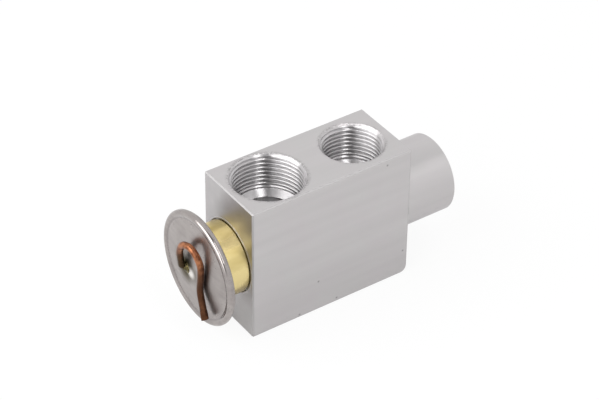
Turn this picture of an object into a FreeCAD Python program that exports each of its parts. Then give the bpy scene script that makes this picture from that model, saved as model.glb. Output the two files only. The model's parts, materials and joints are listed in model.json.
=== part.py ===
import FreeCAD, Part
import math
import os

os.makedirs("parts", exist_ok=True)

# Block expansion valve for vehicle air conditioning, in millimetres.
# X runs along the valve axis from the power head to the spring boss, and Z is up.
# The origin is the centre of the evaporator face, the underside that the block rests on.
# A station is a distance along X from the block's head end, positive towards the boss.

# Block
block_length = 59.0
block_width = 26.5
block_height = 48.0
edge_break = 0.4
corner_round = 2.5
axis_height = 24.0
boss_radius = 12.95
boss_length = 18.5
boss_chamfer = 0.45

# Ports: tapped holes at their nominal thread radius, with the tap drill's own bore below
thread_pitch = 1.5
suction_station = 14.35
suction_bore_radius = 8.8
suction_outlet_radius = 12.0
suction_outlet_bevel = 0.15
suction_outlet_thread = 11.7
suction_outlet_depth = 14.6
suction_inlet_radius = 11.0
suction_inlet_bevel = 0.5
suction_inlet_thread = 10.2
suction_inlet_depth = 13.0
liquid_inlet_station = 45.7
liquid_inlet_radius = 10.0
liquid_inlet_bevel = 0.5
liquid_inlet_thread = 11.7
liquid_inlet_depth = 14.0
liquid_passage_radius = 4.0
liquid_outlet_station = 38.5
liquid_outlet_radius = 8.0
liquid_outlet_bevel = 0.5
liquid_outlet_thread = 10.2
liquid_outlet_depth = 12.0
outlet_passage_station = 36.0
outlet_passage_radius = 3.5
outlet_passage_over = 0.6
drill_half_angle = 59.0

# Fits: radial play of what slides or turns, and the small play that assembly leaves
slide_play = 0.05
assembly_play = 0.05
valve_stroke = 0.8
small_chamfer = 0.3
cut_over = 1.0

# Seat of the power head in the block's end
spot_clearance = 0.7
spot_depth = 1.0
spot_chamfer = 0.2
head_thread_radius = 8.5
head_thread_depth = 4.0
seal_cone_depth = 2.0
vapour_bore_radius = 6.5

# Brass collar
collar_radius = 11.9
collar_bore_radius = 6.0
collar_end_room = 0.2
collar_undercut = 0.7
collar_foot_inset = 0.5
collar_foot_height = 0.4
collar_shoulder_height = 8.0
neck_radius = 10.9
neck_height = 0.3
neck_bore_radius = 9.2

# Covers and diaphragm, as heights in front of the block's head end
cover_thickness = 1.0
cover_rise = 1.5
diaphragm_thickness = 0.2
rim_radius = 18.95
diaphragm_inset = 0.05
rear_rim_inset = 0.25
rear_rim_round = 0.8
bead_crest_inset = 1.05
bead_valley_inset = 2.25
rim_seat_inset = 2.55
bead_height = 0.4
valley_round = 0.6
crown_height = 1.1
lower_floor_radius = 13.0
lower_cone_run = 2.0
wave_count = 3
wave_height = 0.2
wave_inner_clear = 0.6
wave_outer_clear = 2.6

# Stopper, sensing rod, pin and its seal
stopper_radius = 8.4
stopper_thickness = 2.2
stopper_shank_radius = 4.5
stopper_shank_length = 6.3
stopper_socket_depth = 3.0
rod_radius = 3.5
rod_guide_length = 3.85
rod_end_room = 0.4
pin_radius = 1.2
pin_socket_depth = 2.5
push_nut_thickness = 0.4
push_nut_bore_radius = 1.4
push_nut_slots = 6
push_nut_slot_width = 0.5
push_nut_slot_radius = 2.4
seal_pocket_radius = 2.6
seal_pocket_length = 2.2

# Orifice, ball, its support and the two springs
orifice_radius = 2.0
orifice_length = 2.0
seat_depth = 0.4
chamber_radius = 5.6
ball_radius = 2.5
support_radius = 4.8
support_lead = 0.9
support_thickness = 2.3
support_stem_radius = 3.4
support_stem_length = 4.0
damper_thickness = 0.3
damper_bore_radius = 2.75
damper_legs = 3
damper_leg_length = 3.2
damper_leg_angle = 46.0
wire_radius = 0.6
spring_turns = 6.0
spring_mean_radius = 4.15

# Adjusting screw in the boss
screw_thread_radius = 7.0
screw_thread_length = 5.5
screw_recess = 2.0
screw_travel = 1.0
screw_room = 0.5
screw_chamfer = 0.5
screw_plug_length = 6.0
screw_spigot_radius = 3.4
screw_spigot_length = 2.5
screw_hexagon_width = 6.0
screw_hexagon_depth = 5.0
groove_lead = 2.0
groove_width = 1.7
groove_depth = 1.25

# Charge tube: its bend points as (height above the block's end, Y, Z above the valve axis)
tube_radius = 1.1
tube_bore_radius = 0.5
tube_bend_share = 0.45
tube_route = [
    (11.4, 5.0, -1.5),
    (13.9, 5.0, -1.5),
    (15.2, 4.2, 5.9),
    (15.4, 1.8, 10.0),
    (15.1, -2.0, 11.2),
    (14.6, -4.6, 9.5),
    (14.0, -6.1, 6.0),
    (13.9, -5.8, 0.7),
    (13.9, -5.0, -4.1),
    (14.2, -8.3, -13.2),
]
pinch_length = 2.0
pinch_blend = 1.6
pinch_width = 2.6
pinch_thickness = 1.5
braze_radius = 2.1
braze_height = 0.9
braze_edge = 0.15

# Places that follow from the sizes above
tap_step = 0.54 * thread_pitch
spot_radius = collar_radius + spot_clearance
collar_foot_radius = collar_radius - collar_foot_inset
boss_end = block_length + boss_length
diaphragm_radius = rim_radius - diaphragm_inset
rear_rim_radius = rim_radius - rear_rim_inset
bead_crest_radius = rim_radius - bead_crest_inset
bead_valley_radius = rim_radius - bead_valley_inset
rim_seat_radius = rim_radius - rim_seat_inset
crown_sphere_radius = (rim_seat_radius ** 2 + crown_height ** 2) / (2 * crown_height)
wave_inner_radius = stopper_radius + wave_inner_clear
wave_outer_radius = rim_seat_radius - wave_outer_clear
head_bore_end = spot_depth + head_thread_depth
collar_end = head_bore_end - collar_end_room
rod_guide_end = suction_station + suction_bore_radius + rod_guide_length
seal_pocket_end = rod_guide_end + seal_pocket_length
rod_end = rod_guide_end - push_nut_thickness - valve_stroke - rod_end_room
seat_station = outlet_passage_station + outlet_passage_radius + orifice_length
ball_lift = math.sqrt(ball_radius ** 2 - orifice_radius ** 2) + assembly_play
ball_station = seat_station - seat_depth + ball_lift
support_front = ball_station + support_lead
support_back = support_front + support_thickness
screw_end = boss_end - screw_recess
screw_shoulder = screw_end - screw_thread_length
screw_seat = screw_shoulder - screw_plug_length
screw_bore_start = screw_shoulder - screw_travel - screw_room
plug_radius = chamber_radius - slide_play
lower_rim_height = collar_shoulder_height + cover_rise
diaphragm_height = lower_rim_height + cover_thickness
upper_rim_height = diaphragm_height + diaphragm_thickness
stopper_top = diaphragm_height - assembly_play
stopper_bottom = stopper_top - stopper_thickness
ledge_height = stopper_bottom - valve_stroke - 2 * assembly_play
shank_end_height = stopper_bottom - stopper_shank_length
rod_start_height = shank_end_height + stopper_socket_depth


def at(station):
    return station - block_length / 2


def outline(points):
    """Closed wire in the XZ plane through (x, z) points; a four-number item is an arc: (via, end)."""
    here = FreeCAD.Vector(points[0][0], 0, points[0][1])
    first = here
    edges = []
    for item in points[1:]:
        end = FreeCAD.Vector(item[-2], 0, item[-1])
        if len(item) == 4:
            via = FreeCAD.Vector(item[0], 0, item[1])
            edges.append(Part.Arc(here, via, end).toShape())
        else:
            edges.append(Part.LineSegment(here, end).toShape())
        here = end
    edges.append(Part.LineSegment(here, first).toShape())
    return Part.Wire(edges)


def turned(points):
    """Solid turned about the valve axis from (station, radius) points."""
    moved = []
    for item in points:
        pairs = [(at(item[i]), item[i + 1] + axis_height) for i in range(0, len(item), 2)]
        moved.append(tuple(number for pair in pairs for number in pair))
    axis_point = FreeCAD.Vector(0, 0, axis_height)
    return Part.Face(outline(moved)).revolve(axis_point, FreeCAD.Vector(1, 0, 0), 360)


def head_turned(points):
    """Solid turned about the valve axis from (height in front of the block, radius) points."""
    flipped = []
    for item in points:
        flipped.append(tuple(-value if i % 2 == 0 else value for i, value in enumerate(item)))
    return turned(flipped)


def rod_between(start, end, radius):
    """Round bar or bore along the valve axis between two stations."""
    base = FreeCAD.Vector(at(start), 0, axis_height)
    return Part.makeCylinder(radius, end - start, base, FreeCAD.Vector(1, 0, 0))


def ring_seal(station, mean_radius, section_radius):
    base = FreeCAD.Vector(at(station), 0, axis_height)
    return Part.makeTorus(mean_radius, section_radius, base, FreeCAD.Vector(1, 0, 0))


def drill_tip(radius):
    return radius / math.tan(math.radians(drill_half_angle))


def port(station, from_top, radius, bevel, thread_depth, drill_depth):
    """Tapped port with a bevelled mouth, a thread run-out and the drill's pointed bottom."""
    drill_radius = radius - tap_step
    profile = [
        (0, -cut_over),
        (radius + bevel + cut_over, -cut_over),
        (radius, bevel),
        (radius, thread_depth),
        (drill_radius, thread_depth + tap_step),
        (drill_radius, drill_depth),
        (0, drill_depth + drill_tip(drill_radius)),
    ]
    solid = Part.Face(outline(profile)).revolve(FreeCAD.Vector(), FreeCAD.Vector(0, 0, 1), 360)
    if from_top:
        solid.rotate(FreeCAD.Vector(), FreeCAD.Vector(1, 0, 0), 180)
        solid.translate(FreeCAD.Vector(at(station), 0, block_height))
    else:
        solid.translate(FreeCAD.Vector(at(station), 0, 0))
    return solid


def passage(station, low, high, radius):
    base = FreeCAD.Vector(at(station), 0, low)
    return Part.makeCylinder(radius, high - low, base)


def plain_block():
    """Sawn length of extruded bar: one long corner is rounded, the other edges are just broken."""
    block = Part.makeBox(block_length, block_width, block_height)
    block.translate(FreeCAD.Vector(at(0), -block_width / 2, 0))
    far_x = at(block_length)
    corner = [
        edge
        for edge in block.Edges
        if abs(edge.CenterOfMass.x - far_x) < 0.01 and abs(edge.CenterOfMass.z) < 0.01
    ]
    block = block.makeFillet(corner_round, corner)
    broken = []
    for edge in block.Edges:
        middle = edge.CenterOfMass
        along_y = abs(middle.y) < 0.01
        inside_x = abs(middle.x - far_x + corner_round) < 0.01
        inside_z = abs(middle.z - corner_round) < 0.01
        if not (along_y and (inside_x or inside_z)):
            broken.append(edge)
    return block.makeChamfer(edge_break, broken)


def valve_body():
    """Block and boss in one, with ports, the stepped bore along the axis and the head's seat."""
    boss = turned([
        (block_length - corner_round - edge_break, 0),
        (boss_end, 0),
        (boss_end, boss_radius - boss_chamfer),
        (boss_end - boss_chamfer, boss_radius),
        (block_length - corner_round - edge_break, boss_radius),
    ])
    body = plain_block().fuse(boss)
    head_seat = turned([
        (-cut_over, 0),
        (-cut_over, spot_radius + spot_chamfer + cut_over),
        (spot_chamfer, spot_radius),
        (spot_depth, spot_radius),
        (spot_depth, head_thread_radius + seal_cone_depth),
        (spot_depth + seal_cone_depth, head_thread_radius),
        (head_bore_end, head_thread_radius),
        (head_bore_end, vapour_bore_radius),
        (suction_station, vapour_bore_radius),
        (suction_station, 0),
    ])
    axis_bore = turned([
        (suction_station, 0),
        (suction_station, rod_radius + slide_play),
        (rod_guide_end, rod_radius + slide_play),
        (rod_guide_end, seal_pocket_radius),
        (seal_pocket_end, seal_pocket_radius),
        (seal_pocket_end, pin_radius + slide_play),
        (outlet_passage_station, pin_radius + slide_play),
        (outlet_passage_station, orifice_radius),
        (seat_station - seat_depth, orifice_radius),
        (seat_station, orifice_radius + seat_depth),
        (seat_station, chamber_radius),
        (screw_bore_start, chamber_radius),
        (screw_bore_start, screw_thread_radius),
        (boss_end - screw_chamfer, screw_thread_radius),
        (boss_end + cut_over, screw_thread_radius + screw_chamfer + cut_over),
        (boss_end + cut_over, 0),
    ])
    inlet_top = block_height - liquid_inlet_depth
    cuts = [
        head_seat,
        axis_bore,
        port(suction_station, True, suction_outlet_radius, suction_outlet_bevel,
             suction_outlet_thread, suction_outlet_depth),
        port(suction_station, False, suction_inlet_radius, suction_inlet_bevel,
             suction_inlet_thread, suction_inlet_depth),
        passage(suction_station, -cut_over, block_height + cut_over, suction_bore_radius),
        port(liquid_inlet_station, True, liquid_inlet_radius, liquid_inlet_bevel,
             liquid_inlet_thread, liquid_inlet_depth),
        passage(liquid_inlet_station, axis_height, inlet_top, liquid_passage_radius),
        port(liquid_outlet_station, False, liquid_outlet_radius, liquid_outlet_bevel,
             liquid_outlet_thread, liquid_outlet_depth),
        passage(outlet_passage_station, liquid_outlet_depth,
                axis_height + orifice_radius + outlet_passage_over, outlet_passage_radius),
    ]
    for cut in cuts:
        body = body.cut(cut)
    return body


def dome_arc(base_height, radius):
    """Height of the shallow crown at a radius, for a crown that ends at the rim seat."""
    drop = crown_sphere_radius - math.sqrt(crown_sphere_radius ** 2 - radius ** 2)
    return base_height + crown_height - drop


def upper_cover():
    """Pressed crown with a rolled bead at the welded rim and a hole for the charge tube."""
    top = upper_rim_height + cover_thickness
    half = rim_seat_radius / 2
    valley_height = dome_arc(top, bead_valley_radius)
    crest = top + bead_height
    rise = crest - valley_height
    run = bead_valley_inset - bead_crest_inset
    inner_round = (rise ** 2 + run ** 2) / (2 * rise)
    inner_height = crest - inner_round + math.sqrt(inner_round ** 2 - run ** 2 / 4)
    diagonal = bead_crest_inset * math.sqrt(0.5)
    cover = head_turned([
        (dome_arc(top, 0), 0),
        (dome_arc(top, half), half, valley_height, bead_valley_radius),
        (inner_height, bead_crest_radius - run / 2, crest, bead_crest_radius),
        (crest - bead_crest_inset + diagonal, bead_crest_radius + diagonal,
         crest - bead_crest_inset, rim_radius),
        (upper_rim_height, rim_radius),
        (upper_rim_height, rim_seat_radius),
        (dome_arc(upper_rim_height, half), half, dome_arc(upper_rim_height, 0), 0),
    ])
    valley = [
        edge
        for edge in cover.Edges
        if abs(edge.CenterOfMass.x - at(-valley_height)) < 0.01
        and abs(edge.BoundBox.YMax - bead_valley_radius) < 0.01
    ]
    cover = cover.makeFillet(valley_round, valley)
    height, side, up = tube_route[0]
    hole = Part.makeCylinder(
        tube_radius + assembly_play, 4 * cover_thickness,
        FreeCAD.Vector(at(-height), side, axis_height + up), FreeCAD.Vector(-1, 0, 0),
    )
    return cover.cut(hole)


def lower_cover():
    """Pressed pan whose floor sits on the collar's shoulder and whose rim carries the diaphragm."""
    floor = collar_shoulder_height
    hole_radius = neck_radius + assembly_play
    slant = math.hypot(cover_rise, lower_cone_run)
    shift = cover_thickness * (slant - cover_rise) / lower_cone_run
    return head_turned([
        (floor, hole_radius),
        (floor, lower_floor_radius),
        (lower_rim_height, lower_floor_radius + lower_cone_run),
        (lower_rim_height, rear_rim_radius - rear_rim_round),
        (lower_rim_height + rear_rim_round * (1 - math.sqrt(0.5)),
         rear_rim_radius - rear_rim_round * (1 - math.sqrt(0.5)),
         lower_rim_height + rear_rim_round, rear_rim_radius),
        (diaphragm_height, rear_rim_radius),
        (diaphragm_height, lower_floor_radius + lower_cone_run - shift),
        (floor + cover_thickness, lower_floor_radius - shift),
        (floor + cover_thickness, hole_radius),
    ])


def diaphragm():
    """Thin disc, flat at the rim and over the stopper, with pressed ring waves between."""
    low = diaphragm_height
    step = (wave_outer_radius - wave_inner_radius) / wave_count
    under = []
    over = []
    for index in range(wave_count):
        start = wave_inner_radius + index * step
        for height, rows in ((low, under), (low + diaphragm_thickness, over)):
            rows.append((height + wave_height, start + step / 2, height, start + step))
    back = []
    for index in reversed(range(wave_count)):
        start = wave_inner_radius + index * step
        via = low + diaphragm_thickness + wave_height
        back.append((via, start + step / 2, low + diaphragm_thickness, start))
    return head_turned(
        [(low, 0), (low, wave_inner_radius)]
        + under
        + [(low, diaphragm_radius), (low + diaphragm_thickness, diaphragm_radius),
           (low + diaphragm_thickness, wave_outer_radius)]
        + back
        + [(low + diaphragm_thickness, 0)]
    )


def brass_collar():
    """Turned collar: neck for the lower cover, relieved foot, stop ledge, undercut and thread."""
    shoulder = collar_shoulder_height
    thread = head_thread_radius - assembly_play
    undercut = head_thread_radius - collar_undercut
    undercut_end = -(spot_depth + seal_cone_depth)
    end = -collar_end
    return head_turned([
        (shoulder + cover_thickness + neck_height, neck_bore_radius),
        (shoulder + cover_thickness + neck_height, neck_radius),
        (shoulder, neck_radius),
        (shoulder, collar_radius - small_chamfer),
        (shoulder - small_chamfer, collar_radius),
        (collar_foot_height, collar_radius),
        (collar_foot_height, collar_foot_radius),
        (-spot_depth, collar_foot_radius),
        (-spot_depth, undercut),
        (undercut_end, undercut),
        (undercut_end, thread),
        (end + small_chamfer, thread),
        (end, thread - small_chamfer),
        (end, collar_bore_radius),
        (ledge_height, collar_bore_radius),
        (ledge_height, neck_bore_radius),
    ])


def head_oring():
    """Ring in the three-sided groove between shoulder, undercut and the block's seal cone."""
    groove = seal_cone_depth + collar_undercut
    full = groove / (2 + math.sqrt(2))
    centre_radius = head_thread_radius - collar_undercut + full
    return ring_seal(spot_depth + full, centre_radius, full - assembly_play)


def tube_points():
    return [FreeCAD.Vector(at(-h), y, axis_height + z) for h, y, z in tube_route]


def tube_path():
    """Straight runs joined by tangent arcs, up to where the tube begins to flatten."""
    points = tube_points()
    edges = []
    here = points[0]
    for before, corner, after in zip(points, points[1:], points[2:]):
        back = (before - corner).normalize()
        on = (after - corner).normalize()
        half_turn = (math.pi - back.getAngle(on)) / 2
        reach = tube_bend_share * min((before - corner).Length, (after - corner).Length)
        radius = reach / math.tan(half_turn)
        middle = (back + on).normalize()
        centre = corner + middle * math.hypot(radius, reach)
        start = corner + back * reach
        end = corner + on * reach
        edges.append(Part.LineSegment(here, start).toShape())
        edges.append(Part.Arc(start, centre - middle * radius, end).toShape())
        here = end
    run = (points[-1] - here).normalize()
    round_end = points[-1] - run * (pinch_length + pinch_blend)
    edges.append(Part.LineSegment(here, round_end).toShape())
    return Part.Wire(edges)


def tube_sweep(radius, bore=0):
    """Round bar along the route, or a tube where a bore is given."""
    start, towards = tube_points()[:2]
    run = (towards - start).normalize()
    section = Part.Face(Part.Wire(Part.makeCircle(radius, start, run)))
    if bore:
        section = section.cut(Part.Face(Part.Wire(Part.makeCircle(bore, start, run)))).Faces[0]
    return tube_path().makePipe(section)


def charge_tube():
    """Copper tube from the cover's hole through its bends to the flattened, closed end."""
    before, tip = tube_points()[-2:]
    run = (tip - before).normalize()
    round_end = tip - run * (pinch_length + pinch_blend)
    wall = tube_sweep(tube_radius, tube_bore_radius)
    across = run.cross(FreeCAD.Vector(1, 0, 0)).normalize()
    flat = run.cross(across)
    sections = [Part.Wire(Part.makeCircle(tube_radius, round_end, run))]
    for distance in (pinch_blend, pinch_blend + pinch_length):
        centre = round_end + run * distance
        oval = Part.Ellipse(
            centre + flat * (pinch_width / 2), centre + across * (pinch_thickness / 2), centre)
        sections.append(Part.Wire(oval.toShape()))
    pinch = Part.makeLoft(sections, True, True)
    return wall.fuse(pinch).removeSplitter()


def braze_fillet():
    """Cone of braze metal that joins the charge tube to the cover round its hole."""
    side, up = tube_route[0][1:]
    top = upper_rim_height + cover_thickness
    centre_height = top + crown_height - crown_sphere_radius
    crown = Part.makeSphere(crown_sphere_radius, FreeCAD.Vector(at(-centre_height), 0, axis_height))
    surface = dome_arc(top, math.hypot(side, up))
    sunk = cover_thickness / 2
    base = FreeCAD.Vector(at(sunk - surface), side, axis_height + up)
    outward = FreeCAD.Vector(-1, 0, 0)
    length = sunk + braze_height
    cone = Part.makeCone(braze_radius, tube_radius + braze_edge, length, base, outward)
    return cone.cut(crown).cut(tube_sweep(tube_radius + assembly_play))


def diaphragm_stopper():
    """Disc under the diaphragm with a shank whose socket takes the sensing rod."""
    socket = rod_radius + assembly_play
    return head_turned([
        (stopper_top, 0),
        (stopper_top, stopper_radius - small_chamfer),
        (stopper_top - small_chamfer, stopper_radius),
        (stopper_bottom, stopper_radius),
        (stopper_bottom, stopper_shank_radius),
        (shank_end_height, stopper_shank_radius),
        (shank_end_height, socket),
        (rod_start_height, socket),
        (rod_start_height, 0),
    ])


def sensing_rod():
    """Solid rod across the suction passage, with a socket for the pin in its far end."""
    start = -rod_start_height
    rod = turned([
        (start, 0),
        (start, rod_radius - small_chamfer),
        (start + small_chamfer, rod_radius),
        (rod_end - small_chamfer, rod_radius),
        (rod_end, rod_radius - small_chamfer),
        (rod_end, 0),
    ])
    return rod.cut(rod_between(rod_end - pin_socket_depth, rod_end, pin_radius + assembly_play))


def push_nut():
    """Spring washer with slots round its bore, pressed in under the rod to hold the seal."""
    start = rod_guide_end - push_nut_thickness
    washer = rod_between(start, rod_guide_end, rod_radius)
    washer = washer.cut(rod_between(start, rod_guide_end, push_nut_bore_radius))
    for index in range(push_nut_slots):
        slot = Part.makeBox(push_nut_thickness, push_nut_slot_width, push_nut_slot_radius)
        slot.translate(FreeCAD.Vector(at(start), -push_nut_slot_width / 2, axis_height))
        centre = FreeCAD.Vector(0, 0, axis_height)
        slot.rotate(centre, FreeCAD.Vector(1, 0, 0), index * 360 / push_nut_slots)
        washer = washer.cut(slot)
    return washer


def rod_seal():
    section = (seal_pocket_radius - pin_radius) / 2 - slide_play
    return ring_seal(rod_guide_end + section + assembly_play, pin_radius + slide_play + section, section)


def valve_ball():
    return Part.makeSphere(ball_radius, FreeCAD.Vector(at(ball_station), 0, axis_height))


def ball_support():
    """Cup that carries the ball, with a stem that centres the coil spring."""
    support = turned([
        (support_front, 0),
        (support_front, support_radius),
        (support_back, support_radius),
        (support_back, support_stem_radius),
        (support_back + support_stem_length - small_chamfer, support_stem_radius),
        (support_back + support_stem_length, support_stem_radius - small_chamfer),
        (support_back + support_stem_length, 0),
    ])
    return support.cut(valve_ball())


def damping_spring():
    """Thin ring on the ball support with legs that rub along the chamber wall."""
    front = support_front - damper_thickness
    outer = chamber_radius - slide_play
    spring = rod_between(front, support_front, support_radius)
    shell = rod_between(front, front + damper_leg_length, outer)
    shell = shell.cut(rod_between(support_front, front + damper_leg_length, outer - damper_thickness))
    for index in range(damper_legs):
        wedge = Part.makeCylinder(
            outer + cut_over, damper_leg_length,
            FreeCAD.Vector(at(front), 0, axis_height), FreeCAD.Vector(1, 0, 0), damper_leg_angle)
        turn = index * 360 / damper_legs + 180 - damper_leg_angle / 2
        wedge.rotate(FreeCAD.Vector(0, 0, axis_height), FreeCAD.Vector(1, 0, 0), turn)
        spring = spring.fuse(shell.common(wedge))
    return spring.cut(rod_between(front, support_front, damper_bore_radius)).removeSplitter()


def valve_spring():
    """Coil spring with ground ends between the ball support and the adjusting screw."""
    length = screw_seat - support_back
    pitch = length / spring_turns
    helix = Part.makeHelix(pitch, length + 2 * wire_radius, spring_mean_radius)
    start = FreeCAD.Vector(spring_mean_radius, 0, 0)
    lead = FreeCAD.Vector(0, 2 * math.pi * spring_mean_radius, pitch).normalize()
    wire = Part.Wire(Part.makeCircle(wire_radius, start, lead))
    coil = Part.Wire(helix.Edges).makePipeShell([wire], True, True)
    coil.translate(FreeCAD.Vector(0, 0, -wire_radius))
    coil = coil.common(Part.makeCylinder(chamber_radius, length))
    coil.rotate(FreeCAD.Vector(), FreeCAD.Vector(0, 1, 0), 90)
    coil.translate(FreeCAD.Vector(at(support_back), 0, axis_height))
    return coil


def groove_start():
    return screw_seat + groove_lead


def adjusting_screw():
    """Hollow hexagon screw with a sealed plug that the coil spring sits on."""
    floor = plug_radius - groove_depth
    screw = turned([
        (screw_seat - screw_spigot_length, 0),
        (screw_seat - screw_spigot_length, screw_spigot_radius - small_chamfer),
        (screw_seat - screw_spigot_length + small_chamfer, screw_spigot_radius),
        (screw_seat, screw_spigot_radius),
        (screw_seat, plug_radius),
        (groove_start(), plug_radius),
        (groove_start(), floor),
        (groove_start() + groove_width, floor),
        (groove_start() + groove_width, plug_radius),
        (screw_shoulder, plug_radius),
        (screw_shoulder, screw_thread_radius - slide_play),
        (screw_end - screw_chamfer, screw_thread_radius - slide_play),
        (screw_end, screw_thread_radius - slide_play - screw_chamfer),
        (screw_end, 0),
    ])
    corner_radius = screw_hexagon_width / math.sqrt(3)
    corners = []
    for index in range(7):
        angle = math.radians(60 * index)
        side = corner_radius * math.cos(angle)
        up = axis_height + corner_radius * math.sin(angle)
        corners.append(FreeCAD.Vector(at(screw_end - screw_hexagon_depth), side, up))
    hexagon = Part.Face(Part.makePolygon(corners))
    screw = screw.cut(hexagon.extrude(FreeCAD.Vector(screw_hexagon_depth + cut_over, 0, 0)))
    point = turned([
        (screw_end - screw_hexagon_depth, 0),
        (screw_end - screw_hexagon_depth, screw_hexagon_width / 2),
        (screw_end - screw_hexagon_depth - drill_tip(screw_hexagon_width / 2), 0),
    ])
    return screw.cut(point)


def adjuster_oring():
    """Ring in the screw's groove, just clear of the chamber wall and of the groove's floor."""
    section = (groove_depth + slide_play) / 2 - slide_play
    centre_radius = chamber_radius - slide_play - section
    return ring_seal(groove_start() + groove_width / 2, centre_radius, section)


def operating_pin():
    return rod_between(rod_end - pin_socket_depth, ball_station - ball_radius, pin_radius)


nodes = {
    "valve_body": valve_body,
    "upper_cover": upper_cover,
    "lower_cover": lower_cover,
    "diaphragm": diaphragm,
    "brass_collar": brass_collar,
    "head_oring": head_oring,
    "charge_tube": charge_tube,
    "braze_fillet": braze_fillet,
    "diaphragm_stopper": diaphragm_stopper,
    "sensing_rod": sensing_rod,
    "operating_pin": operating_pin,
    "push_nut": push_nut,
    "rod_seal": rod_seal,
    "valve_ball": valve_ball,
    "ball_support": ball_support,
    "damping_spring": damping_spring,
    "valve_spring": valve_spring,
    "adjusting_screw": adjusting_screw,
    "adjuster_oring": adjuster_oring,
}

for name, make in nodes.items():
    solid = make()
    print(name, "solids", len(solid.Solids), "valid", solid.isValid(), "volume", round(solid.Volume, 2))
    solid.exportStep("parts/" + name + ".step")
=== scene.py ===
import json
import math

import bpy
import numpy as np
from mathutils import Matrix, Vector


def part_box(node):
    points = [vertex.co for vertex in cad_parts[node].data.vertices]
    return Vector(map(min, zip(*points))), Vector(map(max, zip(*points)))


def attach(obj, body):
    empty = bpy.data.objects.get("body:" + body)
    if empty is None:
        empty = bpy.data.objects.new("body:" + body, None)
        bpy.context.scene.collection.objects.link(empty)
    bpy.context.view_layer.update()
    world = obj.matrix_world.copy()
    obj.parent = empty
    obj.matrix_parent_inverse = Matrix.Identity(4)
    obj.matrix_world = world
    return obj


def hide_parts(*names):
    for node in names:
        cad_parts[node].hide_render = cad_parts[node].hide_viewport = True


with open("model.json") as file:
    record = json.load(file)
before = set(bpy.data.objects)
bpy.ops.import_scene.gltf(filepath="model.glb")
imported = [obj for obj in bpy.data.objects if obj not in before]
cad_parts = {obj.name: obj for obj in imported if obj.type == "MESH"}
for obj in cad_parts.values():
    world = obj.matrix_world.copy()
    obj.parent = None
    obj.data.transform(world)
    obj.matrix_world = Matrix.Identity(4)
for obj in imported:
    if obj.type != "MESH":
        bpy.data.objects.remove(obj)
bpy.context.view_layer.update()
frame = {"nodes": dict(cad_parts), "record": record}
mounts = {mount["name"]: mount for mount in frame["record"]["mounts"]}
mm = 0.001
blockLow, blockHigh = (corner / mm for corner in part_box("valve_body"))
coverLow, coverHigh = (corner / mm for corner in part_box("upper_cover"))
brazeLow, brazeHigh = (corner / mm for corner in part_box("braze_fillet"))
axisHeight = (coverLow.z + coverHigh.z) / 2   # the valve axis above the evaporator face, in mm
brazeFoot = (brazeLow + brazeHigh) / 2 - Vector((0, 0, axisHeight))   # in mm, height from the valve axis
blockLength = 59.0   # without its boss, in mm
bossStart = blockLow.x + blockLength
blockSpan = Vector((blockLength, blockHigh.y - blockLow.y, blockHigh.z - blockLow.z))
print("frame loaded,", len(frame["nodes"]), "nodes")


# Small helpers

def toLinear(hexColour):
    parts = [int(hexColour[i:i + 2], 16) / 255 for i in (1, 3, 5)]
    linear = [c / 12.92 if c <= 0.04045 else ((c + 0.055) / 1.055) ** 2.4 for c in parts]
    return (*linear, 1.0)


def addNode(tree, kind, settings=None, links=None):
    # adds a node; a setting is a property or an input, and a link joins an output to an input
    node = tree.nodes.new(kind)
    for name, value in (settings or {}).items():
        if isinstance(name, int) or name in node.inputs:
            node.inputs[name].default_value = value
        else:
            setattr(node, name, value)
    for name, output in (links or {}).items():
        tree.links.new(output, node.inputs[name])
    return node


def newMaterial(name):
    material = bpy.data.materials.new(name)
    material.use_nodes = True
    material.node_tree.nodes.clear()
    return material, material.node_tree


def axisPlace(tree):
    # object coordinates in mm, with height measured from the valve axis
    place = addNode(tree, "ShaderNodeTexCoord").outputs["Object"]
    settings = {"Location": (0, 0, -axisHeight), "Scale": (1 / mm,) * 3}
    return addNode(tree, "ShaderNodeMapping", settings, {"Vector": place}).outputs[0]


def finishMetal(tree, look, tone, relief, roughness, tangent=None, under=None):
    # the metal shader that every finish ends in, with its relief as a bump, over a coarser one if given
    heights = {"Height": relief}
    if under:
        heights["Normal"] = under
    bump = addNode(tree, "ShaderNodeBump", {"Strength": 1.0, "Distance": look["reliefDepth"] * mm}, heights)
    links = {"Base Color": tone, "Normal": bump.outputs[0], "Roughness": roughness}
    if tangent:
        links["Tangent"] = tangent
    settings = {"Metallic": 1.0, "Anisotropic": look.get("stretch", 0.0)}
    shader = addNode(tree, "ShaderNodeBsdfPrincipled", settings, links)
    addNode(tree, "ShaderNodeOutputMaterial", None, {0: shader.outputs[0]})


def dress(material, *nodeNames):
    for nodeName in nodeNames:
        mesh = frame["nodes"][nodeName].data
        mesh.materials.clear()
        mesh.materials.append(material)


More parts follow.
